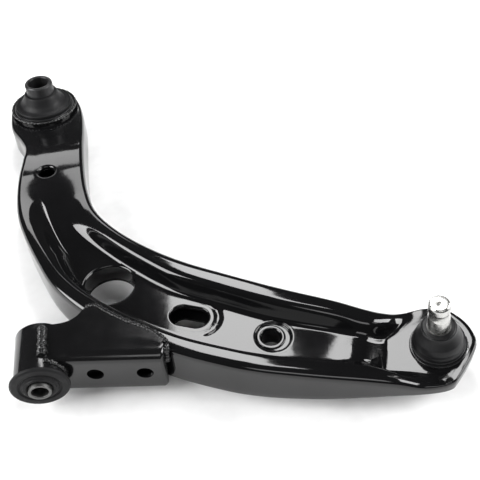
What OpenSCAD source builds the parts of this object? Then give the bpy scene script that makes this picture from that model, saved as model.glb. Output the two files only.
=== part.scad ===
// Front lower control arm for a strut suspension: a welded sheet-steel arm with
// a lying front bush, an upright rear bush and a pinch-bolt ball joint.
// +Y runs along the pivot axis from the front bush to the rear bush, +X runs
// outboard to the wheel, +Z is up. The origin is the centre of the front bush.

/* [Pressed arm] */
// Lower edge of the pressed walls
arm_bottom = -19; // [-20:0.5:-18]
// Top of the two stiffening rails
rail_top = 16.5; // [16:0.25:17.25]
// Top of the leg at the rear bush
leg_top = 12; // [11.5:0.25:12.5]
// Floor of the channel between the rails
floor_top = 0; // [-1:0.5:1]
// Sheet thickness of the pressings
sheet = 3; // [2.5:0.5:3.5]

/* [Holes in the arm] */
// Radius of the large lightening hole
big_hole_r = 21; // [19:0.5:22]
// Width of the oblong hole
slot_w = 20; // [16:1:21]
// Length of the oblong hole
slot_len = 32; // [28:1:34]
// Radius of the small hole in the leg
leg_hole_r = 7.5; // [6:0.5:8.5]
// Bore radius of the stabiliser link spacer
link_r = 7.8; // [6.5:0.1:8]

/* [Front bush] */
// Outer radius of the eye tube
eye_r = 19.5; // [19.5:0.1:20]
// Bore radius of the front inner sleeve, for an M12 bolt
front_bore_r = 6.25; // [6.1:0.05:6.5]
// Radius of the rubber flange
front_flange_r = 22.2; // [21.5:0.1:23]

/* [Rear bush] */
// Distance from the front bush centre to the rear bush axis
rear_y = 332; // [331:0.5:333]
// Bore radius of the rear inner sleeve
rear_bore_r = 10; // [9:0.25:11]
// Outer radius of the rear inner sleeve
rear_sleeve_r = 14.2; // [13.5:0.1:14.5]
// Top of the rear inner sleeve
rear_sleeve_top = 41; // [39:0.5:43]

/* [Ball joint] */
// Outboard position of the ball centre
ball_x = 301; // [300.5:0.25:301.5]
// Radius of the ball
ball_r = 12.5; // [12.3:0.1:12.6]
// Radius of the stud's clamped shank
stud_r = 8.1; // [8:0.1:8.5]
// Height of the stud's end above the ball centre
stud_top = 61; // [59:0.5:63]
// Outer radius of the dust boot
boot_r = 19.4; // [19:0.1:20]

/* [Hidden] */
$fn = 96;

black = [0.03, 0.03, 0.035];
black_grey = [0.16, 0.16, 0.17];
rubber = [0.08, 0.08, 0.085];
zinc = [0.8, 0.8, 0.79];
steel = [0.5, 0.5, 0.5];
plastic = [0.85, 0.84, 0.78];

fit = 0.05;                       // running clearance at a turning fit
far = 500;                        // longer than anything that it cuts
rear_x = 0;
ball_y = -43.5;
ball_z = -8.5;
ball_lean = 9;                    // the ball joint leans inboard, in degrees

// ---- outline of the arm ----------------------------------------------------
// Corners of the arm's outline, starting left of the rear bush and running
// down the outer edge, round the ball joint and back along the inner edge.
outline_points = [
    [-33, 350], [-37, 328], [-34, 304], [-24.5, 280], [-19.5, 256], [-23, 212],
    [-23, 172], [-15, 133], [-4, 100], [9, 68], [28, 39], [56, 12],
    [96, -18], [138, -41], [182, -57], [228, -68], [262, -76], [284, -79],
    [300, -77], [316, -64], [326.5, -52], [329.5, -41], [327, -30], [322, -19],
    [314, -11], [297, -7], [270, -8], [246, -4], [190, 23], [140, 53.5], [97, 85.5],
    [66, 116.5], [46, 160], [40, 205], [39, 255], [41, 298], [40, 328],
    [33, 350], [17, 366], [-3, 370], [-21, 363]
];
// Corners of the channel pressed between the rails, at floor level, from the
// leg down the outer side and back along the inner side.
channel_points = [
    [12, 152], [14, 112], [24, 72], [48, 40], [88, 9], [128, -15],
    [168, -34], [214, -42], [246, -46], [262, -40], [262, -30], [250, -24],
    [214, -13], [168, 9], [126, 38], [92, 66], [72, 88], [50, 96],
    [40, 108], [32, 140], [24, 158]
];

function spline(a, b, c, d, t) =
    0.5 * (2 * b + (c - a) * t + (2 * a - 5 * b + 4 * c - d) * t * t
    + (3 * b - a - 3 * c + d) * t * t * t);
function smooth(p, steps) =
    let (n = len(p))
    [for (i = [0 : n - 1], k = [0 : steps - 1])
        spline(p[(i + n - 1) % n], p[i], p[(i + 1) % n], p[(i + 2) % n], k / steps)];
function side(v) = [-v[1], v[0]] / norm(v);
// A closed curve moved sideways by d: inwards when d is positive.
function moved(p, d) =
    let (n = len(p))
    [for (i = [0 : n - 1]) p[i] + d * side(p[(i + 1) % n] - p[(i + n - 1) % n])];

module flat_part(z0, z1, points) {
    translate([0, 0, z0]) linear_extrude(z1 - z0) polygon(points);
}

// Heights of the arm's lower and upper faces along its run outboard.
arm_turn = -24;                   // the arm's run outboard, turned from +X
lower_line = [[-far, arm_bottom], [150, arm_bottom], [215, arm_bottom + 3.5],
    [262, -11.5], [292, -10], [335, -9]];
upper_line = [[-far, rail_top], [165, rail_top], [205, rail_top - 1], [232, 11],
    [250, 4], [258, 0], [266, -3], [293, 0.2], [335, 6.4]];
// Height of the leg's upper face from front to rear.
leg_line = [[-far, rail_top], [130, rail_top], [196, leg_top], [far, leg_top]];

function lifted(line, d) = [for (p = line) [p[0], p[1] + d]];
function backwards(line) = [for (i = [len(line) - 1 : -1 : 0]) line[i]];

// The space between two height lines that run outboard.
module arm_between(low, high) {
    rotate([0, 0, arm_turn]) translate([0, far, 0]) rotate([90, 0, 0])
        linear_extrude(2 * far) polygon(concat(low, backwards(high)));
}
// Everything under the leg's upper face, less d.
module leg_under(d) {
    translate([-far, 0, 0]) rotate([90, 0, 90]) linear_extrude(2 * far)
        polygon(concat([[far, -far], [-far, -far]], lifted(leg_line, -d)));
}
module arm_block(inset, low, high) {
    intersection() {
        flat_part(-60, 60, moved(smooth(outline_points, 5), inset));
        arm_between(low, high);
        leg_under(inset);
    }
}
module channel(grow, z0) {
    flat_part(z0, 60, moved(smooth(channel_points, 4), -grow));
}
module at_rear(z) { translate([rear_x, rear_y, z]) children(); }
module at_big_hole(z) { translate([55.5, 70, z]) children(); }
module at_slot(z) { translate([117, 22.5, z]) rotate([0, 0, arm_turn]) children(); }
module at_leg_hole(z) { translate([4, 217, z]) children(); }
module at_link(z) { translate([177, -9.5, z]) children(); }
module at_ball() { translate([ball_x, ball_y, ball_z]) rotate([0, -ball_lean, 0]) children(); }

module arm_holes(extra) {
    at_big_hole(-60) cylinder(r = big_hole_r + extra, h = 120);
    at_leg_hole(-60) cylinder(r = leg_hole_r + extra, h = 120);
    at_link(-60) cylinder(r = spacer_r + extra, h = 120);
    at_slot(-60) slot_hole(extra);
    at_rear(-60) cylinder(r = collar_r + extra, h = 120);
    at_ball() translate([0, 0, -60]) cylinder(r = housing_r + extra, h = 120);
}
module slot_hole(extra) {
    reach = (slot_len - slot_w) / 2;
    width = slot_w + 2 * extra;
    for (x = [-reach, reach]) translate([x, 0, 0]) cylinder(d = width, h = 120);
    translate([-reach, -width / 2, 0]) cube([2 * reach, width, 120]);
}
module ring(r_in, r_out, z0, z1) {
    translate([0, 0, z0]) difference() {
        cylinder(r = r_out, h = z1 - z0);
        translate([0, 0, -1]) cylinder(r = r_in, h = z1 - z0 + 2);
    }
}
// Turns a part that was made upright so that it lies along the pivot axis.
module lying() { rotate([-90, 0, 0]) children(); }
// A weld bead laid along a row of corners, thick and thin by turns.
module bead(points, r) {
    for (i = [0 : len(points) - 2]) {
        run = points[i + 1] - points[i];
        turn = atan2(run[1], run[0]);
        thick = i % 2 == 0 ? r : 0.8 * r;
        translate(points[i]) rotate([0, acos(run[2] / norm(run)), turn])
            translate([0, 0, -r / 3]) cylinder(r = thick, h = norm(run) + 2 * r / 3, $fn = 24);
    }
}

// ---- the pressed arm -------------------------------------------------------
housing_r = 20;                   // body of the ball joint housing
collar_r = 33;                    // outside of the rear bush housing
spacer_r = 11.4;                  // outside of the link spacer
plate_t = 2.5;                    // thickness of the closing plate

// The main pressing, which is one sheet. Its regions are nodes of their own.
module pressing() {
    difference() {
        union() {
            difference() {
                arm_block(0, lower_line, upper_line);
                arm_block(sheet, lifted(lower_line, -40), lifted(upper_line, -sheet));
            }
            intersection() {
                arm_block(0, lower_line, upper_line);
                channel(sheet, floor_top - sheet);
            }
        }
        channel(0, floor_top);
        arm_holes(0);
        at_ball() translate([0, 0, flange_z]) cylinder(r = flange_r + 2, h = 60);
    }
}
leg_line_y = 150;                 // the leg is the region beyond this line
ball_end_x = 262;                 // and the ball end is beyond this one
// The side of the channel that faces the front bush.
outer_region = [[-100, leg_line_y], [18, leg_line_y], [36, 103], [56, 70], [117, 22],
    [177, -10], [ball_end_x, -35], [ball_end_x, -150], [-100, -150]];

module floor_region() {
    channel(0, -60);
    at_big_hole(-60) cylinder(r = big_hole_r + sheet, h = 60 + floor_top);
}
module run_region() {
    translate([-100, -150, -60]) cube([100 + ball_end_x, 150 + leg_line_y, 120]);
}
module shell_leg() {
    color(black) difference() {
        intersection() {
            pressing();
            translate([-100, leg_line_y, -60]) cube([300, 300, 120]);
        }
        floor_region();
    }
}
module shell_outer_rail() {
    color(black) difference() {
        intersection() {
            pressing();
            flat_part(-60, 60, outer_region);
        }
        floor_region();
    }
}
module shell_inner_rail() {
    color(black) difference() {
        intersection() {
            pressing();
            run_region();
        }
        flat_part(-60, 60, outer_region);
        floor_region();
    }
}
module shell_floor() {
    low = arm_bottom + plate_t;
    color(black) difference() {
        union() {
            flat_part(floor_top - sheet, floor_top, smooth(channel_points, 4));
            at_big_hole(low) cylinder(r = big_hole_r + sheet, h = floor_top - low);
        }
        arm_holes(0);
    }
}
module shell_ball_end() {
    color(black) difference() {
        intersection() {
            pressing();
            translate([ball_end_x, -150, -60]) cube([300, 300, 120]);
        }
        floor_region();
    }
}
module closing_plate() {
    color(black) difference() {
        arm_block(sheet, lower_line, lifted(lower_line, plate_t));
        arm_holes(0);
    }
}
// Tube between the two pressings, which takes the clamp load of the link bolt.
module link_spacer() {
    color(black_grey) at_link(0) ring(link_r, spacer_r, arm_bottom, floor_top - 1);
}
module rear_housing() {
    color(black) at_rear(0) ring(rear_case_r, collar_r, arm_bottom, leg_top + 0.5);
}

// ---- front bush and its bracket --------------------------------------------
eye_front = -19;
eye_back = 24;
front_case_r = eye_r - 3;         // outer sleeve, a press fit in the eye tube
front_rubber_r = front_case_r - 1.5;
front_sleeve_r = 8.5;
front_sleeve_front = -26.5;
front_sleeve_back = 26.5;

module eye_tube() {
    color(black) lying() ring(front_case_r, eye_r, eye_front, eye_back);
}
module front_outer_sleeve() {
    color(steel) lying() ring(front_rubber_r, front_case_r, eye_front, eye_back);
}
module front_rubber() {
    color(rubber) lying() difference() {
        union() {
            translate([0, 0, eye_front]) cylinder(r = front_rubber_r, h = eye_back - eye_front + 2);
            translate([0, 0, eye_front - 3]) cylinder(r = front_flange_r, h = 3);
            translate([0, 0, eye_front - 5]) cylinder(r = 12, h = 5);
        }
        translate([0, 0, -60]) cylinder(r = front_sleeve_r + fit, h = 120);
    }
}
module front_inner_sleeve() {
    color(steel) lying() ring(front_bore_r, front_sleeve_r, front_sleeve_front, front_sleeve_back);
}
// Bracket folded from one sheet: upper flange, front web and lower flange. It
// is welded to the eye tube and to the arm's outer wall.
bracket_top = rail_top + sheet;   // its upper flange rests on the rail
bracket_bottom = -21.5;
web_hole_r = 6.3;                 // tooling holes through the web
web_left = [13, -12.5];
web_right = [93, -26];
bracket_points = [web_left, web_right, [98, -14], [86, -1], [68, 12], [54, 24],
    [44, 34], [37, 32], [31, 24], [22, 20], [4, 20], [4, -11]];
module front_bracket() {
    web = web_right - web_left;
    color(black) difference() {
        union() {
            flat_part(bracket_top - sheet, bracket_top, bracket_points);
            intersection() {
                flat_part(bracket_bottom, bracket_bottom + sheet, bracket_points);
                translate([0, -60, -60]) cube([200, 72, 120]);
            }
            translate([web_left[0], web_left[1], bracket_bottom])
                rotate([0, 0, atan2(web[1], web[0])])
                    difference() {
                        cube([norm(web), sheet, bracket_top - bracket_bottom]);
                        for (x = [28, 65.5])
                            translate([x, -10, -1.5 - bracket_bottom]) lying() cylinder(r = web_hole_r, h = 40);
                    }
        }
        lying() translate([0, 0, -60]) cylinder(r = eye_r, h = 120);
        arm_block(0, lifted(lower_line, -8), upper_line);
    }
}

// ---- rear bush -------------------------------------------------------------
rear_case_r = 30.4;
rear_rubber_r = rear_case_r - 1.6;
rear_lip = 17;
module rear_outer_sleeve() {
    color(steel) at_rear(0) ring(rear_rubber_r, rear_case_r, arm_bottom - 1, leg_top + 1.5);
}
module rear_rubber() {
    color(rubber) at_rear(0) rotate_extrude() polygon([
        [rear_sleeve_r + fit, rear_sleeve_top - 11], [17, rear_sleeve_top - 11],
        [18.5, 24], [23, rear_lip + 1], [27.5, rear_lip - 1], [29, rear_lip],
        [29, leg_top + 2], [rear_rubber_r, leg_top + 1.5], [rear_rubber_r, arm_bottom],
        [24, arm_bottom - 1], [17, arm_bottom - 4], [rear_sleeve_r + fit, arm_bottom - 4]
    ]);
}
module rear_inner_sleeve() {
    color(steel) at_rear(0) ring(rear_bore_r, rear_sleeve_r, -27, rear_sleeve_top);
}

// ---- ball joint ------------------------------------------------------------
seat_r = 15.5;
cap_r = 17;
housing_bottom = -20;
flange_z = 8.5;                   // underside of the flange that stops on the arm
flange_top = 10.5;
flange_r = boot_r + 2.1;
neck_r = stud_r - 0.3;            // the shank below the clamped length
collar_z = 33.6;                  // top of the slip collar
collar_out = neck_r + 1.1;        // outside of the slip collar

module ball_housing() {
    color(black_grey) at_ball() difference() {
        union() {
            translate([0, 0, housing_bottom]) cylinder(r = housing_r, h = flange_top - housing_bottom);
            translate([0, 0, flange_z]) cylinder(r = flange_r, h = flange_top - flange_z);
        }
        translate([0, 0, -16.5]) cylinder(r = seat_r, h = 23);
        translate([0, 0, 6.4]) cylinder(r1 = 11.8, r2 = 16.5, h = 4.2);
        translate([0, 0, -18.5]) cylinder(r = cap_r, h = 2.1);
        translate([0, 0, housing_bottom - 1]) cylinder(r = 15.8, h = 4);
    }
}
module bearing_seat() {
    color(plastic) at_ball() difference() {
        translate([0, 0, -14.5]) cylinder(r = seat_r, h = 20.9);
        sphere(r = ball_r + fit);
        translate([0, 0, 5]) cylinder(r1 = 11.3, r2 = 11.8, h = 2);
    }
}
module preload_disc() {
    color(steel) at_ball() ring(5, seat_r - 0.1, -16.4, -14.5);
}
module housing_cap() {
    color(zinc) at_ball() translate([0, 0, -18.5]) cylinder(r = cap_r, h = 2);
}
module ball_stud() {
    groove_z = stud_top - 11;
    color(zinc) at_ball() union() {
        sphere(r = ball_r);
        rotate_extrude() polygon([
            [0, 0], [6.5, 0], [6.5, 16], [neck_r, 21], [neck_r, collar_z + 0.9],
            [stud_r, collar_z + 0.9], [stud_r, groove_z - 3.5],
            [stud_r - 1.8, groove_z - 2], [stud_r - 1.8, groove_z + 2],
            [stud_r, groove_z + 3.5], [stud_r, stud_top - 1.5],
            [stud_r - 1.5, stud_top], [0, stud_top]
        ]);
    }
}
module dust_boot() {
    color(rubber) at_ball() rotate_extrude() polygon([
        [16.6, flange_top], [boot_r, flange_top], [boot_r, 14], [boot_r - 0.6, 17],
        [boot_r - 0.8, 21], [boot_r - 2.6, 25.5], [14, 29], [12.4, 31], [12, 33],
        [collar_out + fit, 33], [collar_out + fit, 30], [12, 27.5], [boot_r - 4.2, 24],
        [boot_r - 2.6, 20.5], [boot_r - 2.6, 15], [16.6, 13.5]
    ]);
}
module boot_base_ring() {
    color(steel) at_ball() rotate_extrude() translate([boot_r + 0.6, 12.5]) circle(r = 0.5, $fn = 24);
}
module boot_neck_ring() {
    color(steel) at_ball() rotate_extrude() translate([12.8, 31.8]) circle(r = 0.5, $fn = 24);
}
// Slip collar in the boot's neck: the stud turns inside it.
module boot_collar() {
    color(steel) at_ball() ring(neck_r + fit, collar_out, 30, collar_z);
}

// ---- welds -----------------------------------------------------------------
module bracket_seam_weld() {
    color(black) bead([[40, 34, 18.2], [54, 25, 18.2], [86, 0, 18.2], [97, -13, 17.2]], 2.2);
}
module bracket_end_weld() {
    color(black) bead([[97, -13, 17.2], [95, -20, 16], [94.5, -22.5, 6]], 2);
}
module eye_top_weld() {
    color(black) bead([[5, 20, 19.6], [5, -9, 19.6]], 3.2);
}
module eye_side_weld() {
    color(black) bead([[6, -12, 18.8], [13, -13, 14.6], [18.6, -14, 6]], 2.2);
}
module closing_seam_weld() {
    color(black) bead([[21, 50.5, -18], [32, 36, -18], [44, 24, -18]], 1.6);
}
module rear_collar_weld() {
    color(black) at_rear(0) rotate_extrude() translate([collar_r, leg_top])
        circle(r = 1.8, $fn = 24);
}

shell_leg();
shell_outer_rail();
shell_inner_rail();
shell_floor();
shell_ball_end();
closing_plate();
front_bracket();
eye_tube();
front_outer_sleeve();
front_rubber();
front_inner_sleeve();
rear_housing();
rear_outer_sleeve();
rear_rubber();
rear_inner_sleeve();
link_spacer();
ball_housing();
bearing_seat();
preload_disc();
housing_cap();
ball_stud();
dust_boot();
boot_base_ring();
boot_neck_ring();
boot_collar();
bracket_seam_weld();
bracket_end_weld();
eye_top_weld();
eye_side_weld();
closing_seam_weld();
rear_collar_weld();
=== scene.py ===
# The control arm of a car's front suspension, built up piece by piece in the
# order it is put together: pressings, bracket, bushes, ball joint, welds.
import bpy
import bmesh
import math
from mathutils import Vector, Matrix


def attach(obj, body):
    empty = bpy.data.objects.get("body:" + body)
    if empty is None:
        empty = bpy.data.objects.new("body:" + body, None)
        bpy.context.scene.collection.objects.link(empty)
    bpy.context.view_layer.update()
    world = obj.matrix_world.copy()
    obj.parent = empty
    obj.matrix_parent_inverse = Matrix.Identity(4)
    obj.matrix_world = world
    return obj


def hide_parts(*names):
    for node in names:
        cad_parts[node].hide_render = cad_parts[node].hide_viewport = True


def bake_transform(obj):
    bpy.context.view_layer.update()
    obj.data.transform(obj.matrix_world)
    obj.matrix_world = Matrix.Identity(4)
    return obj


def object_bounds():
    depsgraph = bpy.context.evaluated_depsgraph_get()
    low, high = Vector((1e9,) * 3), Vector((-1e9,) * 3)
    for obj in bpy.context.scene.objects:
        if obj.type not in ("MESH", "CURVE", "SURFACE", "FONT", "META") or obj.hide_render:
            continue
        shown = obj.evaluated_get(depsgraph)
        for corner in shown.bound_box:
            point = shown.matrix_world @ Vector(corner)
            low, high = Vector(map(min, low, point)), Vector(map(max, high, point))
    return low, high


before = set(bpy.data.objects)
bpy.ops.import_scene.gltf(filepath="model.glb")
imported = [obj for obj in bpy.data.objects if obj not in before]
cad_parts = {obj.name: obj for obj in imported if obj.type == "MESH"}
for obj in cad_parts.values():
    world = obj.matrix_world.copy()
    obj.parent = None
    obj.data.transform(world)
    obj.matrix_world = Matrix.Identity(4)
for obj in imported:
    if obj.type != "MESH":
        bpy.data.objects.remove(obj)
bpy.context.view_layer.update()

# ---------------------------------------------------------------------------
# Upper shell. The main pressing, deep drawn from 3 mm steel sheet, with two
# stiffening rails either side of a channel. It is dip coated in gloss black
# after welding, and every hole has an edge rolled down into the hollow.

MM = 0.001
STATIONS = 760      # sections of the skin round the arm's outer edge
FLOOR_STEPS = 30    # points from the foot of a rail to the middle line
RIM_STEPS = 96      # points round a hole's rolled edge
BEND_LIFT = 0.04    # how far a rim's flat border lies over the floor
MERGED = 0.00001    # vertices closer than this are one

# Outer edge of the arm, anticlockwise from the left of the rear bush: x, y,
# height of the rail, its width, run of its inner wall, height of the wall's foot.
shell_edge = [
    (-28, 357, 8.6, 7, 6, -19), (-35.6, 340, 8.6, 7, 6, -19), (-36.3, 322, 8.6, 7, 6, -19),
    (-34, 302, 9.0, 8, 6, -19), (-25, 281, 10, 9, 7, -19), (-19.2, 262, 11.4, 9, 7, -19),
    (-20.6, 240, 12.6, 10, 12, -19), (-23.6, 210, 12.6, 10, 20, -19), (-23.5, 180, 13, 10, 24, -19),
    (-20.5, 155, 14.5, 11, 22, -19), (-14, 130, 16, 12, 18, -19), (-3, 98, 16.5, 13, 13, -19),
    (10, 67, 16.5, 14, 9, -19), (30, 38, 16.5, 15, 7, -19), (58, 11, 16.5, 16, 6, -19),
    (96, -18, 16.5, 16, 6, -19), (135, -39.5, 16.3, 16.5, 6, -19), (160, -50, 15.8, 16.5, 6, -18.5),
    (184, -57.5, 14.8, 16, 6, -17.5), (210, -64.5, 13, 15.5, 6, -15.5), (236, -69.8, 9.4, 14.5, 6, -13.4),
    (256, -73.8, 5.6, 11, 6, -11.4), (275, -77, -0.6, 8, 5, -10.6), (290, -78.4, -1.2, 4, 4, -10),
    (299, -77.6, 0.2, 4, 4, -9.6), (303.5, -74.8, 0.9, 4, 4, -9.4), (312, -67.4, 2.2, 4, 4, -9.1),
    (321, -58.5, 3.7, 4, 4, -8.8), (327.5, -50, 4.7, 4, 4, -8.6), (328.9, -41, 5.0, 4, 4, -8.6),
    (327.5, -30.5, 4.7, 4, 4, -8.7), (323, -20.5, 4.0, 4, 4, -8.9), (316, -12, 2.9, 4, 4, -9.1),
    (301, -7, 0.5, 4, 4, -9.6), (284, -6.5, -1.2, 7, 5, -10.2),
    (268, -8.5, 6.6, 11, 6, -11), (252, -4.5, 11.5, 15, 6, -12.5), (230, 7, 14, 16, 5.5, -15),
    (190, 27.5, 15.6, 18, 5.5, -17.5), (153, 49.5, 16, 18, 5.5, -19), (120, 70.5, 16, 18, 5.5, -19),
    (93, 92.5, 16, 14.5, 5.5, -19), (68, 119.5, 15.6, 12, 6.5, -19), (50, 149.5, 14.4, 12, 13, -19),
    (42.5, 180, 13, 10, 24, -19), (39.8, 215, 12.6, 10, 20, -19), (39.6, 255, 12, 10, 10, -19),
    (40.3, 285, 9.8, 9, 7, -19), (40, 312, 8.8, 7, 6, -19), (37.5, 333, 8.6, 7, 6, -19),
    (31, 352, 8.6, 7, 6, -19), (18, 365, 8.6, 7, 6, -19), (-3, 369.5, 8.6, 7, 6, -19),
    (-17, 366, 8.6, 7, 6, -19),
]
# Middle line of the arm from the rear bush to the ball joint.
shell_middle = [(0, 332), (1, 290), (1, 250), (4, 217), (6, 180), (14, 140), (31, 103),
                (56, 70), (85, 46), (117, 22.5), (147, 5), (177, -10), (210, -24),
                (240, -33), (270, -39), (301, -43.5)]
# Floor of the pressing along the leg: y, height.
leg_floor = [(100, 0.0), (112, 0.4), (123, 1.7), (135, 3.8), (148, 6.0), (163, 8.2), (178, 10.0),
             (194, 11.4), (210, 12.3), (228, 12.8), (245, 12.5), (260, 11.3), (275, 9.8),
             (290, 8.6), (303, 8.0)]
# Floor along the run to the ball joint: distance along it, height.
run_floor = [(200, 0.0), (208, 0.1), (216, 0.5), (224, 1.2), (231, 1.7), (237, 1.1), (242, -0.8),
             (247, -3.4), (251, -5.2), (255, -6.2), (262, -6.2)]
ball_x, ball_y, ball_z, ball_lean = 301, -43.5, -8.5, math.radians(9)


def soft_step(x, a, b):
    t = min(1.0, max(0.0, (x - a) / (b - a)))
    return t * t * (3 - 2 * t)


def along(table, x):
    # Value at x, read smoothly from rows of (x, value).
    if x <= table[0][0]:
        return table[0][1]
    for i, ((a, u), (b, v)) in enumerate(zip(table, table[1:])):
        if x <= b:
            before, after = table[max(0, i - 1)], table[min(len(table) - 1, i + 2)]
            m = (v - before[1]) / (b - before[0]) * (b - a)
            n = (after[1] - u) / (after[0] - a) * (b - a)
            t = (x - a) / (b - a)
            return ((1 + 2 * t) * (1 - t) ** 2 * u + t * (1 - t) ** 2 * m
                    + t * t * (3 - 2 * t) * v + t * t * (t - 1) * n)
    return table[-1][1]


def curve(rows, steps, closed=True):
    # A smooth curve through the rows, which may carry any number of values.
    n = len(rows)
    out = []
    for i in range(n if closed else n - 1):
        if closed:
            a, b, c, d = (rows[(i + j) % n] for j in (-1, 0, 1, 2))
        else:
            a, b, c, d = (rows[min(n - 1, max(0, i + j))] for j in (-1, 0, 1, 2))
        for k in range(steps):
            t = k / steps
            out.append(tuple(0.5 * (2 * q + (r - p) * t + (2 * p - 5 * q + 4 * r - s) * t * t
                                    + (3 * q - p - 3 * r + s) * t * t * t)
                             for p, q, r, s in zip(a, b, c, d)))
    if not closed:
        out.append(tuple(rows[-1]))
    return out


def even(points, count):
    # The closed curve again, with its points evenly spaced.
    dist = [0.0]
    for p, q in zip(points, points[1:] + points[:1]):
        dist.append(dist[-1] + math.dist(p[:2], q[:2]))
    ring = points + points[:1]
    out, j = [], 0
    for i in range(count):
        d = dist[-1] * i / count
        while dist[j + 1] < d:
            j += 1
        t = (d - dist[j]) / max(1e-9, dist[j + 1] - dist[j])
        out.append(tuple(a + (b - a) * t for a, b in zip(ring[j], ring[j + 1])))
    return out


def nearest(point, line):
    # How far along the line it passes nearest to the point.
    best = (1e9, 0.0)
    for i, (p, q) in enumerate(zip(line, line[1:])):
        d = (q[0] - p[0], q[1] - p[1])
        t = ((point[0] - p[0]) * d[0] + (point[1] - p[1]) * d[1]) / (d[0] ** 2 + d[1] ** 2)
        t = min(1.0, max(0.0, t))
        at = (p[0] + t * d[0], p[1] + t * d[1])
        best = min(best, (math.dist(at, point), i + t))
    return best[1]


def rounded(corners, radii, counts, parts):
    # A section through the corners, each rounded, with a set number of points
    # on each straight run and on each corner.
    def toward(p, q, d):
        s = math.dist(p, q)
        f = min(0.49, d / max(s, 1e-6))
        return (p[0] + (q[0] - p[0]) * f, p[1] + (q[1] - p[1]) * f)
    out = []
    start = corners[0]
    for i in range(1, len(corners)):
        p = corners[i]
        last = i == len(corners) - 1
        stop = p if last else toward(p, corners[i - 1], radii[i - 1])
        for k in range(parts[i - 1]):
            t = k / parts[i - 1]
            out.append((start[0] + (stop[0] - start[0]) * t, start[1] + (stop[1] - start[1]) * t))
        if last:
            out.append(stop)
            break
        leave = toward(p, corners[i + 1], radii[i - 1])
        for k in range(counts[i - 1]):
            t = k / counts[i - 1]
            out.append(tuple((1 - t) ** 2 * a + 2 * t * (1 - t) * b + t * t * c
                             for a, b, c in zip(stop, p, leave)))
        start = leave
    return out


def slot_distance(x, y, cx, cy, half, r, turn):
    # How far a point lies outside a round hole, or an oblong one if half > 0.
    dx, dy = x - cx, y - cy
    u = dx * math.cos(turn) + dy * math.sin(turn)
    v = -dx * math.sin(turn) + dy * math.cos(turn)
    return math.hypot(max(0.0, abs(u) - half), v) - r


arm_turn = math.radians(-24)
# Holes of the arm: x, y, half the straight run, radius, turn, room left round it.
big_hole = (55.5, 70, 0, 21, 0, 2.0)
oblong_hole = (117, 22.5, 6, 10, arm_turn, 1.3)
leg_hole = (4, 217, 0, 7.5, 0, 2.2)
link_seat = (177, -9.5, 0, 11.4, 0, 1.2)
link_dimple = (178.6, -10.4, 0, 14.6, 0, 0.4)
rear_seat = (0, 332, 0, 32.6, 0, -0.5)
ball_seat = (301.6, -43.5, 0, 19.5, 0, -0.5)


def floor_at(x, y):
    # Height of the pressing's floor, without its holes.
    run = x * math.cos(arm_turn) + y * math.sin(arm_turn)
    z = along(leg_floor, y) if x < 110 else along(run_floor, run)
    z += (0.2 + 0.158 * (x - ball_x) - z) * soft_step(run, 249, 257)
    # a shallow crescent is pressed beside the oblong hole
    dx, dy = x - 122.5, y - 20.1
    off = abs((math.degrees(math.atan2(dy, dx)) + 24 + 180) % 360 - 180)
    z -= 0.8 * soft_step(4.2 - abs(math.hypot(dx, dy) - 17.4), 0, 4.2) * soft_step(72 - off, 0, 40)
    return z


def arm_sheet(edge_rows, section, holes, clear):
    # A skin that runs from the arm's outer edge in to its middle line, with its
    # holes left open a little wider than their rims.
    middle = curve(shell_middle, 12, closed=False)
    edge = even(curve(edge_rows, 24), STATIONS)
    on_middle = [nearest(e[:2], middle) for e in edge]
    count = len(edge)
    for _ in range(6):
        on_middle = [sum(on_middle[(i - k) % count] for k in range(-6, 7)) / 13 for i in range(count)]
    sections = []
    for e, at in zip(edge, on_middle):
        i = min(len(middle) - 2, int(at))
        m = [middle[i][k] + (middle[i + 1][k] - middle[i][k]) * (at - i) for k in (0, 1)]
        # both sides stop at the same points of the middle line, which closes the skin
        sections.append(section(e, m, middle[round(at)]))
    n, rows = len(sections), len(sections[0])
    bm = bmesh.new()
    bmesh.ops.create_grid(bm, x_segments=n, y_segments=rows - 1, size=0.5)
    bm.verts.ensure_lookup_table()
    for v in bm.verts:
        i = round((v.co.x + 0.5) * n) % n
        j = round((v.co.y + 0.5) * (rows - 1))
        x, y, z = sections[i][j]
        v.co = Vector((x, y, z)) * MM
    gone = []
    for f in bm.faces:
        c = f.calc_center_median() / MM
        room = clear if c.z < floor_at(c.x, c.y) + 0.8 else -1
        if any(slot_distance(c.x, c.y, *h[:5]) < max(0, h[5] + room) for h in holes):
            gone.append(f)
    bmesh.ops.delete(bm, geom=gone, context='FACES')
    bmesh.ops.remove_doubles(bm, verts=bm.verts, dist=2 * MERGED)
    return bm


def add_rim(bm, hole, height, profile):
    # Rolled edge of a hole: the profile's rows are distance out, height.
    cx, cy, half, r, turn = hole[:5]
    n = RIM_STEPS
    part = bmesh.new()
    bmesh.ops.create_grid(part, x_segments=n, y_segments=len(profile) - 1, size=0.5)
    for v in part.verts:
        i = round((v.co.x + 0.5) * n) % n
        out, z = profile[round((v.co.y + 0.5) * (len(profile) - 1))]
        a = 2 * math.pi * i / n
        u = (r + out) * math.cos(a) + math.copysign(half, math.cos(a) + 1e-9)
        w = (r + out) * math.sin(a)
        x = cx + u * math.cos(turn) - w * math.sin(turn)
        y = cy + u * math.sin(turn) + w * math.cos(turn)
        v.co = Vector((x, y, height(x, y) + z)) * MM
    bmesh.ops.remove_doubles(part, verts=part.verts, dist=MERGED)
    bmesh.ops.reverse_faces(part, faces=part.faces)
    spare = bpy.data.meshes.new("rim")
    part.to_mesh(spare)
    part.free()
    bm.from_mesh(spare)
    bpy.data.meshes.remove(spare)


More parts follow.
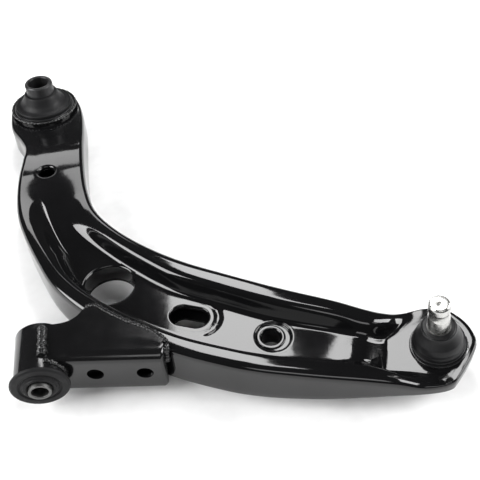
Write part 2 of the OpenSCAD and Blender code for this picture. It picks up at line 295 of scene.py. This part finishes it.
def quarter(roll, depth, lip, count=8):
    # Profile of an edge rolled down: a quarter round, then straight to depth.
    rows = [(roll + 3.0 - 0.6 * k, BEND_LIFT) for k in range(5)]
    rows += [(roll * (1 - math.sin(k * math.pi / 2 / count)),
              -roll * (1 - math.cos(k * math.pi / 2 / count)) + BEND_LIFT) for k in range(count + 1)]
    return rows + [(0, -depth), (0.3, -depth - 0.4), (lip, -depth - 0.4), (lip, -roll - 0.5)]


def finish_piece(bm, name, material, body, node, sharp=40):
    # Makes the object, gives it its material and hands it to the frame.
    mesh = bpy.data.meshes.new(name)
    bm.to_mesh(mesh)
    bm.free()
    mesh.shade_smooth()
    mesh.set_sharp_from_angle(angle=math.radians(sharp))
    obj = bpy.data.objects.new(name, mesh)
    bpy.context.collection.objects.link(obj)
    mesh.materials.append(material)
    if body:
        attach(obj, body)
    nodes = node if isinstance(node, tuple) else (node,)
    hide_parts(*nodes)
    return obj


def finish_material(name, base, rough, metallic=0.0, spots=0.05, bump=0.02, grain=60.0,
                    streak=None, wear=None, gleam=0.5):
    # A procedural finish: base colour with faint blotches, uneven roughness,
    # fine surface bumps, and wear where it is asked for, as its colour, scale,
    # start and strength.
    mat = bpy.data.materials.new(name)
    mat.use_nodes = True
    nodes, links = mat.node_tree.nodes, mat.node_tree.links
    shader = nodes["Principled BSDF"]
    shader.inputs["Metallic"].default_value = metallic
    shader.inputs["Specular IOR Level"].default_value = gleam
    where = nodes.new("ShaderNodeTexCoord")
    place = nodes.new("ShaderNodeMapping")
    links.new(where.outputs["Object"], place.inputs["Vector"])
    if streak:
        place.inputs["Scale"].default_value = streak

    def noise(scale, detail=4.0, rough_=0.55, source=place):
        t = nodes.new("ShaderNodeTexNoise")
        t.inputs["Scale"].default_value = scale
        t.inputs["Detail"].default_value = detail
        t.inputs["Roughness"].default_value = rough_
        links.new(source.outputs["Vector" if source == place else 0], t.inputs["Vector"])
        return t.outputs["Fac"]

    def spread(value, low, high, a=0.3, b=0.7):
        m = nodes.new("ShaderNodeMapRange")
        links.new(value, m.inputs["Value"])
        m.inputs["From Min"].default_value = a
        m.inputs["From Max"].default_value = b
        m.inputs["To Min"].default_value = low
        m.inputs["To Max"].default_value = high
        return m.outputs["Result"]

    blotch = noise(25.0)
    fine = noise(grain * 10, 6.0, 0.65)
    mix = nodes.new("ShaderNodeMix")
    mix.data_type = 'RGBA'
    light = [min(1.0, c * 1.4) for c in base] + [1]
    mix.inputs["A"].default_value = list(base) + [1]
    mix.inputs["B"].default_value = light
    links.new(spread(blotch, 0.0, 1.0), mix.inputs["Factor"])
    colour = mix.outputs["Result"]
    if wear:
        top = nodes.new("ShaderNodeMix")
        top.data_type = 'RGBA'
        links.new(colour, top.inputs["A"])
        top.inputs["B"].default_value = list(wear[0]) + [1]
        worn = spread(noise(wear[1], 8.0, 0.7), 0.0, wear[3], wear[2], wear[2] + 0.12)
        links.new(worn, top.inputs["Factor"])
        colour = top.outputs["Result"]
    links.new(colour, shader.inputs["Base Color"])
    add = nodes.new("ShaderNodeMath")
    add.operation = 'ADD'
    links.new(spread(blotch, rough * 0.85, rough * 1.25), add.inputs[0])
    links.new(spread(fine, 0.0, spots), add.inputs[1])
    links.new(add.outputs[0], shader.inputs["Roughness"])
    mound = nodes.new("ShaderNodeBump")
    mound.inputs["Distance"].default_value = 0.001
    mound.inputs["Strength"].default_value = bump
    links.new(noise(grain * 4, 3.0, 0.5), mound.inputs["Height"])
    links.new(mound.outputs["Normal"], shader.inputs["Normal"])
    return mat


gloss_black = finish_material("gloss_black_coat", (0.0035, 0.0035, 0.0038), 0.05, spots=0.03,
                              bump=0.03, grain=14)


def shell_section(e, m, end):
    # One station: the outer wall, the rail's top, its inner wall and the floor.
    x, y, top, width, run, foot = e
    reach = math.dist((x, y), m)
    ux, uy = (m[0] - x) / reach, (m[1] - y) / reach
    def at(u, z):
        return (x + ux * u, y + uy * u, z)
    fold = min(width + run, reach * 0.8)
    width = min(width, fold * 0.7)
    fx, fy, _ = at(fold, 0)
    low = floor_at(fx, fy)
    crest = max(top, low + 0.05)
    soft = max(0.0, run - 7) * 0.5
    wall = rounded([(3.0, foot + 3), (3.0, foot), (0, foot), (0, crest), (width, crest - 0.3),
                    (fold, low), (fold + 7, low)],
                   [0.6, 0.9, 6.5, 4.0 + soft, 4.0 + soft], [3, 3, 9, 8, 8], [1, 1, 5, 4, 3, 2])
    pts = [at(u, z) for u, z in wall]
    sx, sy, _ = at(fold + 7, 0)
    for k in range(1, FLOOR_STEPS + 1):
        px, py = sx + (end[0] - sx) * k / FLOOR_STEPS, sy + (end[1] - sy) * k / FLOOR_STEPS
        pts.append((px, py, floor_at(px, py)))
    # the rounded foot of the inner wall follows the floor under it
    for j in range(len(wall) - 3, len(wall)):
        px, py, _ = pts[j]
        pts[j] = (px, py, floor_at(px, py))
    return pts


pressing = ("shell_leg", "shell_outer_rail", "shell_inner_rail", "shell_floor", "shell_ball_end")
shell_holes = [big_hole, oblong_hole, leg_hole, link_dimple, rear_seat, ball_seat]
bm = arm_sheet(shell_edge, shell_section, shell_holes, 0.9)
add_rim(bm, big_hole, floor_at, quarter(2.0, 18.9, 2.6, 12))
add_rim(bm, oblong_hole, floor_at, quarter(1.3, 4.0, 2.6))
add_rim(bm, leg_hole, floor_at, quarter(2.2, 4.0, 2.6))
dimple = [(2.8, BEND_LIFT), (2.1, BEND_LIFT), (1.4, BEND_LIFT), (0.7, 0.03), (0.0, -0.12),
          (-0.5, -0.6), (-0.8, -1.4), (-1.3, -1.95), (-2.0, -2.1), (-5.0, -2.15), (-5.0, -3.5)]
add_rim(bm, link_dimple, floor_at, dimple)
finish_piece(bm, "upper_shell_skin", gloss_black, "arm", pressing)

# ---------------------------------------------------------------------------
# Closing plate. A flat 2.5 mm steel pressing that shuts the shell's open side
# from below. It is welded along its edge and coated with the shell.
plate_black = finish_material("plate_coat", (0.005, 0.005, 0.0053), 0.12, spots=0.06, bump=0.04,
                              grain=14)


def plate_section(e, m, end):
    # One station: the plate's turned-in edge, then its flat to the middle line.
    x, y, _, _, _, foot = e
    reach = math.dist((x, y), m)
    ux, uy = (m[0] - x) / reach, (m[1] - y) / reach
    def at(u, z):
        return (x + ux * u, y + uy * u, z)
    pts = [at(10, foot + 2.4), at(3.2, foot + 2.4), at(3.2, foot + 0.9), at(3.6, foot + 0.25),
           at(4.2, foot + 0.05)]
    sx, sy, _ = at(4.2, 0)
    for k in range(1, 9):
        t = k / 8
        pts.append((sx + (end[0] - sx) * t, sy + (end[1] - sy) * t,
                    foot + 0.05 + (foot_at(end[0]) - foot) * soft_step(t, 0, 1)))
    return pts


def foot_at(x):
    # Height of the plate's flat, which rises toward the ball joint.
    return along([(140, -18.9), (215, -15.4), (262, -11), (300, -9.6), (333, -8.8)], x)


flat_holes = [hole[:5] + (0.01,)
              for hole in (big_hole, oblong_hole, leg_hole, link_seat, rear_seat, ball_seat)]
bm = arm_sheet(shell_edge, plate_section, flat_holes, 3.2)
for hole in flat_holes[:4]:
    add_rim(bm, hole, lambda x, _: foot_at(x), [(8, -0.01), (4, -0.03), (0, -0.03), (0, 2.4), (8, 2.4)])
bmesh.ops.reverse_faces(bm, faces=bm.faces)
finish_piece(bm, "closing_plate_pressing", plate_black, "arm", "closing_plate")

# ---------------------------------------------------------------------------
# Front bracket. One blank of 3 mm sheet folded to an upper flange, a web with
# two holes and a lower flange; it carries the bush eye and is welded on.
bracket_black = finish_material("bracket_coat", (0.004, 0.004, 0.0043), 0.10, spots=0.06, bump=0.04,
                                grain=14, wear=((0.03, 0.03, 0.03), 180.0, 0.66, 0.5))
# Back edge of the upper flange: x, y.
bracket_back = [(6, 20.5), (22, 20.5), (31, 24.5), (37, 31), (44, 33), (54, 24), (68, 12), (86, -1),
                (98, -14)]
bend, bracket_top, bracket_low = 8.0, 19.5, -21.4


def web_y(x):
    # The web stands along this line.
    return -12.5 + (x - 13) * (-13.5 / 80)


bm = bmesh.new()
cols, rows = 80, 44
# rows 0-20 are the upper flange, 20-30 its bend, 30-38 the web, 38-42 the lower
# bend and the rest the lower flange
bmesh.ops.create_grid(bm, x_segments=cols, y_segments=rows, size=0.5)
for v in bm.verts:
    i, j = round((v.co.x + 0.5) * cols), round((v.co.y + 0.5) * rows)
    x = 6 + 88 * i / cols
    front, back = web_y(x), along(bracket_back, x)
    if x > 90:
        front += (x - 90) ** 2 * 0.25
    deep = back - front
    if j <= 20:
        y, z = front + bend + (deep - bend) * (1 - j / 20), bracket_top
        z -= 0.5 * soft_step(j, 10, 20) + 0.9 * soft_step(26 - x, 0, 12) * soft_step(j, 4, 20)
    elif j <= 30:
        a = (j - 20) / 10 * math.pi / 2
        drop = 0.5 + 0.9 * soft_step(26 - x, 0, 12)
        y, z = front + bend * (1 - math.sin(a)), bracket_top - drop - bend * (1 - math.cos(a))
    elif j <= 38:
        t = (j - 30) / 8
        y, z = front, bracket_top - bend - 1 + t * (bracket_low + 3 - bracket_top + bend + 1)
    elif j <= 42:
        a = (j - 38) / 4 * math.pi / 2
        y, z = front + 3 * (1 - math.cos(a)), bracket_low + 3 * (1 - math.sin(a))
    else:
        y, z = front + 3 + (j - 42) * min(14, max(2, deep - 6)), bracket_low
    v.co = Vector((x, y, z)) * MM
bmesh.ops.recalc_face_normals(bm, faces=bm.faces)
bracket = finish_piece(bm, "front_bracket_pressing", bracket_black, "arm", "front_bracket")
wall = bracket.modifiers.new("sheet", 'SOLIDIFY')
wall.thickness = 3 * MM
wall.offset = -1


def cut(obj, tool):
    # Takes the tool's shape out of the piece for good.
    m = obj.modifiers.new("cut", 'BOOLEAN')
    m.object, m.operation, m.solver = tool, 'DIFFERENCE', 'EXACT'
    done = bpy.data.meshes.new_from_object(obj.evaluated_get(bpy.context.evaluated_depsgraph_get()))
    old = obj.data
    obj.modifiers.clear()
    obj.data = done
    done.name = old.name + "_cut"
    bpy.data.meshes.remove(old)
    bpy.data.meshes.remove(tool.data)
    done.shade_smooth()
    done.set_sharp_from_angle(angle=math.radians(35))


def rod(place, radius, length, count=64):
    # A plain rod for cutting holes, centred on its place.
    b = bmesh.new()
    bmesh.ops.create_cone(b, cap_ends=True, segments=count, radius1=radius * MM, radius2=radius * MM,
                          depth=length * MM, matrix=place)
    me = bpy.data.meshes.new("rod")
    b.to_mesh(me)
    b.free()
    o = bpy.data.objects.new("rod", me)
    bpy.context.collection.objects.link(o)
    return o


for reach in (28, 65.5):
    x = 13 + reach * math.cos(math.radians(-9.6))
    place = Matrix.Translation(Vector((x, web_y(x), -1.5)) * MM) @ Matrix.Rotation(math.pi / 2, 4, 'X')
    cut(bracket, rod(place, 6.3, 12))

# ---------------------------------------------------------------------------
# Eye tube. A short length of 3 mm steel tube welded into the bracket, which
# holds the front bush; it is coated with the arm.


def spun(profile, place, steps=96, closed=True):
    # A turned piece: the profile's corners are radius, height, from one end
    # round to where it meets itself or the axis.
    b = bmesh.new()
    row = [b.verts.new((r * MM, 0, z * MM)) for r, z in profile]
    edges = [b.edges.new((p, q)) for p, q in zip(row, row[1:])]
    if closed:
        edges.append(b.edges.new((row[-1], row[0])))
    bmesh.ops.spin(b, geom=row + edges, cent=(0, 0, 0), axis=(0, 0, 1), angle=2 * math.pi,
                   steps=steps, use_merge=True)
    bmesh.ops.remove_doubles(b, verts=b.verts, dist=MERGED)
    bmesh.ops.recalc_face_normals(b, faces=b.faces)
    b.transform(place)
    return b


def eased(profile, size, closed=True, steps=3):
    # The same profile with every corner rounded by up to its size.
    n = len(profile)
    sizes = size if isinstance(size, (list, tuple)) else [size] * n
    out = []
    for i, p in enumerate(profile):
        s = sizes[i]
        if s <= 0 or (not closed and i in (0, n - 1)):
            out.append(p)
            continue
        a, c = profile[i - 1], profile[(i + 1) % n]
        da, dc = math.dist(p, a), math.dist(p, c)
        s = min(s, 0.45 * da, 0.45 * dc)
        u = (p[0] + (a[0] - p[0]) * s / da, p[1] + (a[1] - p[1]) * s / da)
        w = (p[0] + (c[0] - p[0]) * s / dc, p[1] + (c[1] - p[1]) * s / dc)
        for k in range(steps + 1):
            t = k / steps
            out.append(tuple((1 - t) ** 2 * g + 2 * t * (1 - t) * h + t * t * q
                             for g, h, q in zip(u, p, w)))
    return out


def tube(r_in, r_out, low, high, edge=0.5):
    # Profile of a plain tube with its edges broken.
    return eased([(r_in, low), (r_out, low), (r_out, high), (r_in, high)], edge)


lying = Matrix.Rotation(-math.pi / 2, 4, 'X')
tube_black = finish_material("eye_tube_coat", (0.005, 0.005, 0.0053), 0.12, spots=0.06, bump=0.05,
                             grain=16)
finish_piece(spun(tube(16.5, 19.5, -19, 24, 0.7), lying), "eye_tube_cut_length", tube_black, "arm",
             "eye_tube")

# ---------------------------------------------------------------------------
# Front bush. Rubber bonded between a thin outer sleeve, pressed into the eye,
# and a thick inner sleeve that the subframe's bolt clamps.
sleeve_steel = finish_material("bare_steel_sleeve", (0.11, 0.11, 0.108), 0.34, metallic=1.0,
                               spots=0.12, bump=0.05, grain=30,
                               wear=((0.04, 0.038, 0.036), 60.0, 0.6, 0.5))
finish_piece(spun(tube(15, 16.45, -18.9, 23.9, 0.4), lying), "front_bush_outer_sleeve",
             sleeve_steel, "arm", "front_outer_sleeve")
bush_rubber = finish_material("bush_rubber", (0.006, 0.006, 0.0065), 0.42, spots=0.15, bump=0.2, grain=24,
                              wear=((0.03, 0.03, 0.031), 40.0, 0.6, 0.35), gleam=0.2)
rubber = [(8.55, -22.4), (10.4, -24), (12, -23.9), (12.2, -22.9), (13.8, -22.3), (14.3, -21.2),
          (15.6, -21.2), (16.1, -22.2), (20.8, -22.2), (22.2, -20.9), (22.2, -19.4), (21.4, -19),
          (14.9, -19), (14.9, 24), (13.5, 26), (10, 26), (8.55, 25)]
finish_piece(spun(eased(rubber, 0.55), lying), "front_bush_rubber", bush_rubber, "arm",
             "front_rubber")
sleeve = [(6.25, -25.9), (6.85, -26.5), (8.5, -26.5), (8.5, 26.5), (6.85, 26.5), (6.25, 25.9)]
finish_piece(spun(eased(sleeve, 0.25), lying), "front_bush_inner_sleeve", sleeve_steel,
             "front_sleeve", "front_inner_sleeve")

# ---------------------------------------------------------------------------
# Rear bush. It stands upright in a welded housing: a pressed-in sleeve, a
# rubber cone bonded to a tall thick sleeve, which takes the subframe's bolt.
at_rear = Matrix.Translation(Vector((0, 332, 0)) * MM)
housing_black = finish_material("rear_housing_coat", (0.005, 0.005, 0.0053), 0.08, spots=0.05,
                                bump=0.04, grain=16)
housing = [(30.45, -19), (33, -19), (33, 10.2), (31.6, 12.4), (30.45, 12.4)]
finish_piece(spun(eased(housing, [0.4, 0.6, 2.0, 0.8, 0.3]), at_rear), "rear_bush_housing",
             housing_black, "arm", "rear_housing")
dull_steel = finish_material("coated_sleeve_steel", (0.022, 0.022, 0.023), 0.3, metallic=0.6,
                             spots=0.15, bump=0.1, grain=26, streak=(1.0, 1.0, 0.25),
                             wear=((0.07, 0.068, 0.066), 70.0, 0.58, 0.6))
finish_piece(spun(tube(28.85, 30.4, -20, 13.4, 0.5), at_rear), "rear_bush_outer_sleeve",
             dull_steel, "arm", "rear_outer_sleeve")
# The rubber's moulded skins, above and below: radius, height.
top_skin = [(28.8, 12), (29, 14.5), (29, 16.4), (28.3, 17), (27.2, 16.4), (23.4, 17.8),
            (20.2, 21.5), (18.3, 25.5), (16.6, 29.6), (14.25, 30)]
b = spun(eased(top_skin, 1.0, closed=False), at_rear, closed=False)
rear_cone = finish_piece(b, "rear_bush_rubber_cone", bush_rubber, None, "rear_rubber")
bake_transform(rear_cone)
low_skin = [(14.25, -23), (17, -22.8), (24, -20), (28.8, -19)]
b = spun(eased(low_skin, 1.0, closed=False), at_rear, closed=False)
rear_underside = finish_piece(b, "rear_bush_rubber_underside", bush_rubber, None, "rear_rubber")
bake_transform(rear_underside)
sleeve = [(10, -27), (14.2, -27), (14.2, 39.6), (12.9, 41), (11, 41), (10, 40)]
finish_piece(spun(eased(sleeve, [0.3, 0.4, 0.5, 0.4, 0.3, 0.4]), at_rear),
             "rear_bush_inner_sleeve", dull_steel, "rear_sleeve", "rear_inner_sleeve")

# ---------------------------------------------------------------------------
# Link spacer. A turned steel tube between the two pressings, so that the
# stabiliser link's bolt can be tightened without crushing the arm.
at_link = Matrix.Translation(Vector((177, -9.5, 0)) * MM)
spacer = [(7.8, -18.9), (11.4, -18.9), (11.4, -1.6), (10.9, -1.0), (8.6, -1.0), (7.8, -1.9)]
finish_piece(spun(eased(spacer, 0.35), at_link), "link_bolt_spacer", gloss_black, "arm",
             "link_spacer")

# ---------------------------------------------------------------------------
# Ball joint housing and its inner parts. A forged cup pressed up through the
# arm: a plastic seat, a steel disc that preloads it and a rolled-in cap.
at_ball = (Matrix.Translation(Vector((ball_x, ball_y, ball_z)) * MM)
           @ Matrix.Rotation(-ball_lean, 4, 'Y'))
satin_black = finish_material("satin_black_coat", (0.008, 0.008, 0.0085), 0.2, spots=0.1,
                              bump=0.05, grain=24)
cup = [(15.6, -19.8), (20, -19.9), (20, 8.4), (21.5, 8.6), (21.5, 10.4), (16.6, 10.4),
       (11.9, 6.45), (15.45, 6.3), (15.45, -16.4), (17, -16.5), (17, -18.4), (15.9, -18.6)]
cup_corners = [0.5, 1.0, 0.5, 0.5, 0.5, 0.5, 0.3, 0.2, 0.2, 0.1, 0.2, 0.2]
finish_piece(spun(eased(cup, cup_corners), at_ball), "ball_joint_housing", satin_black, "arm",
             "ball_housing")
seat_plastic = finish_material("seat_plastic", (0.62, 0.60, 0.52), 0.4, spots=0.1, bump=0.03,
                               grain=30)
zinc = finish_material("zinc_plate", (0.46, 0.458, 0.445), 0.2, metallic=1.0, spots=0.12,
                       bump=0.05, grain=28,
                       wear=((0.25, 0.245, 0.23), 45.0, 0.6, 0.5))
for node, material in (("bearing_seat", seat_plastic), ("preload_disc", sleeve_steel),
                       ("housing_cap", zinc)):
    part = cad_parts[node]
    part.data.materials.clear()
    part.data.materials.append(material)

# ---------------------------------------------------------------------------
# Ball stud. Forged and ground steel, zinc plated: a ball, a slim neck, a plain
# shank with the groove for the knuckle's pinch bolt, and a centre mark on top.
ball_r = 12.5
ball = [(ball_r * math.cos(math.radians(a)), ball_r * math.sin(math.radians(a)))
        for a in range(-90, 57, 6)]
ball[0] = (0, -ball_r)
stud = ball + [(6.5, 11.2), (6.5, 16), (7.8, 21), (7.8, 34.3), (8.1, 34.6), (8.1, 46.6),
               (7.5, 48.2), (7.5, 52), (8.1, 53.6), (8.1, 59.4), (6.9, 61), (1.5, 61),
               (0.8, 59.6), (0, 59.4)]
sizes = [0] * len(ball) + [0.8, 2, 2.5, 0.1, 0.1, 0.8, 1.2, 1.2, 0.8, 0.6, 0.7, 0.1, 0.3, 0]
finish_piece(spun(eased(stud, sizes, closed=False), at_ball, closed=False), "ball_stud_forging",
             zinc, "stud", "ball_stud")

# ---------------------------------------------------------------------------
# Dust boot. Moulded rubber that keeps grease in and water out, made here in two
# halves: the base sits on the housing and the neck closes round the stud.
boot_rubber = finish_material("boot_rubber", (0.005, 0.005, 0.0055), 0.34, spots=0.12, bump=0.12,
                              grain=26, gleam=0.3)
low_boot = [(19.3, 10.6), (19.4, 11.6), (18.9, 12.5), (19.4, 13.4), (19.2, 15.0), (18.5, 16.6),
            (18.5, 18.2), (17.9, 20.4), (16.9, 22.8)]
high_boot = [(16.9, 22.8), (15.3, 25.4), (13.6, 28.3), (12.9, 29.8), (12.5, 31.0), (12.2, 31.8),
             (12.4, 32.5), (11.6, 33), (8.95, 33.0)]
b = spun(eased(low_boot, 0.9, closed=False), at_ball, closed=False)
boot_base = finish_piece(b, "dust_boot_base", boot_rubber, None, "dust_boot")
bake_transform(boot_base)
b = spun(eased(high_boot, 0.9, closed=False), at_ball, closed=False)
boot_neck = finish_piece(b, "dust_boot_neck", boot_rubber, None, "dust_boot")
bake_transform(boot_neck)
ring_steel = finish_material("boot_ring_wire", (0.02, 0.02, 0.021), 0.3, metallic=0.6, spots=0.1,
                             bump=0.05, grain=30)


def wire(r, z, thick):
    # Profile of a round wire bent to a ring.
    return [(r + thick * math.cos(a * math.pi / 6), z + thick * math.sin(a * math.pi / 6))
            for a in range(12)]


finish_piece(spun(wire(19.6, 12.5, 0.55), at_ball), "boot_base_wire_ring", ring_steel, "arm",
             "boot_base_ring")
finish_piece(spun(wire(12.8, 31.8, 0.5), at_ball), "boot_neck_wire_ring", ring_steel,
             "boot_neck", "boot_neck_ring")
finish_piece(spun(tube(7.85, 8.9, 30, 33.6, 0.2), at_ball), "boot_slip_collar", sleeve_steel,
             "boot_neck", "boot_collar")

# ---------------------------------------------------------------------------
# Welds. Arc-weld beads laid after the pieces are put together: lumpy and
# rippled, and coated with the rest of the arm.
weld_black = finish_material("weld_coat", (0.005, 0.005, 0.0053), 0.12, spots=0.2, bump=0.5, grain=40)


def bead(name, node, line, size, ripple=2.0, seed=0.0):
    # A bead along a line, thick and thin by turns. Its ends are closed round.
    b = bmesh.new()
    path = even_open(curve(line, 12, closed=False), max(12, int(len_of(line) / 0.55)))
    around = 12
    bmesh.ops.create_grid(b, x_segments=len(path) - 1, y_segments=around, size=0.5)
    for v in b.verts:
        i = round((v.co.x + 0.5) * (len(path) - 1))
        a = 2 * math.pi * (round((v.co.y + 0.5) * around) % around) / around
        p = Vector(path[i])
        d = Vector(path[min(i + 1, len(path) - 1)]) - Vector(path[max(i - 1, 0)])
        d.normalize()
        s = d.orthogonal() if abs(d.z) > 0.9 else d.cross(Vector((0, 0, 1)))
        s.normalize()
        t = s.cross(d)
        along_it = len_of(line) * i / (len(path) - 1)
        thick = size * (1 + 0.16 * math.sin(along_it / ripple * 2 * math.pi + seed)
                        + 0.1 * math.sin(along_it * 0.83 + seed * 3)
                        + 0.07 * math.sin(3 * a + along_it))
        close = min(i, len(path) - 1 - i) / 3
        thick *= math.sqrt(max(0.0, 1 - (1 - min(1.0, close)) ** 2))
        v.co = (p + (s * math.cos(a) + t * math.sin(a)) * thick) * MM
    bmesh.ops.remove_doubles(b, verts=b.verts, dist=MERGED)
    bmesh.ops.recalc_face_normals(b, faces=b.faces)
    return finish_piece(b, name, weld_black, "arm", node, 80)


def len_of(line):
    return sum(math.dist(p, q) for p, q in zip(line, line[1:]))


def even_open(points, count):
    # The open curve again, with its points evenly spaced.
    total = len_of(points)
    out, j, done = [], 0, 0.0
    for i in range(count):
        d = total * i / (count - 1)
        while j < len(points) - 2 and done + math.dist(points[j], points[j + 1]) < d:
            done += math.dist(points[j], points[j + 1])
            j += 1
        t = (d - done) / max(1e-9, math.dist(points[j], points[j + 1]))
        out.append(tuple(a + (b - a) * min(1.0, t) for a, b in zip(points[j], points[j + 1])))
    return out


bead("bracket_seam_bead", "bracket_seam_weld",
     [(38, 32.5, 18.6), (46, 33, 18.4), (54, 25.5, 18.4), (68, 13.5, 18.4), (86, 0.5, 18.2),
      (97, -12.5, 17.4)], 2.2, 2.6)
bead("bracket_end_bead", "bracket_end_weld", [(97, -13, 17.4), (96, -19, 16), (95.2, -22.5, 6.5)],
     2.1, 2.4, 1.0)
bead("eye_top_bead", "eye_top_weld", [(5.2, 19.5, 19.4), (5.4, 5, 19.7), (5.2, -8.5, 19.4)],
     3.3, 3.0, 2.0)
bead("eye_side_bead", "eye_side_weld",
     [(6, -11.4, 18.6), (12.5, -12.6, 15), (17.6, -13.4, 8), (18.6, -13.8, 5)], 2.4, 3.0, 0.6)
bead("closing_seam_bead", "closing_seam_weld", [(21, 50.5, -18), (32, 36, -18), (44, 24, -18)],
     1.6, 2.6, 0.2)
turn = [(33 * math.cos(a * math.pi / 60), 332 + 33 * math.sin(a * math.pi / 60), 11.6)
        for a in range(0, 121)]
bead("rear_collar_bead", "rear_collar_weld", turn, 1.3, 3.4, 0.4)

# ---------------------------------------------------------------------------
# Floor, light and camera. A pale paper floor, with soft boxes over the arm and
# round it.
paper = finish_material("floor_paper", (0.86, 0.86, 0.86), 0.9, spots=0.02, bump=0.0, grain=5)
b = bmesh.new()
bmesh.ops.create_grid(b, x_segments=1, y_segments=1, size=6)
b.transform(Matrix.Translation((0.15, 0.15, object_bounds()[0][2] - 0.0002)))
me = bpy.data.meshes.new("floor")
b.to_mesh(me)
b.free()
floor = bpy.data.objects.new("floor", me)
bpy.context.collection.objects.link(floor)
me.materials.append(paper)


def softbox(name, at, size, power, aim=(0.14, 0.12, 0.0)):
    # A rectangular soft light that faces its aim.
    light = bpy.data.lights.new(name, 'AREA')
    light.shape = 'RECTANGLE'
    light.size, light.size_y = size
    light.energy = power
    o = bpy.data.objects.new(name, light)
    bpy.context.collection.objects.link(o)
    o.location = at
    o.rotation_euler = (Vector(aim) - Vector(at)).to_track_quat('-Z', 'Y').to_euler()


softbox("sky_box", (0.235, 0.775, 1.0), (0.29, 0.55), 5.8, (0.235, 0.775, 0.0))
softbox("end_box", (0.345, 0.43, 1.0), (0.19, 0.14), 0.88, (0.345, 0.43, 0.0))
softbox("low_back_box", (-0.17, 1.62, 0.98), (0.62, 0.5), 4.0, (-0.17, 1.62, 0.0))
softbox("left_box", (-1.5, -0.1, 1.0), (1.2, 1.2), 50)
softbox("right_box", (1.9, -0.1, 1.0), (1.2, 1.2), 50)
softbox("front_box", (0.15, -1.6, 1.5), (1.6, 0.7), 10)
world = bpy.data.worlds.new("studio")
bpy.context.scene.world = world
world.use_nodes = True
world.node_tree.nodes["Background"].inputs["Color"].default_value = (1, 1, 1, 1)
world.node_tree.nodes["Background"].inputs["Strength"].default_value = 0.05

camera_data = bpy.data.cameras.new("camera")
camera_data.sensor_width = 36
camera_data.lens = 52.5
camera = bpy.data.objects.new("camera", camera_data)
bpy.context.collection.objects.link(camera)
pitch, azimuth, roll = math.radians(45.18), math.radians(-8.5), math.radians(-2.49)
camera.matrix_world = (Matrix.Translation(Vector((107.5, -332.8, 439.0)) * MM)
                       @ Matrix.Rotation(azimuth, 4, 'Z')
                       @ Matrix.Rotation(math.pi / 2 - pitch, 4, 'X')
                       @ Matrix.Rotation(roll, 4, 'Z'))
bpy.context.scene.camera = camera
bpy.context.scene.view_settings.view_transform = 'Standard'
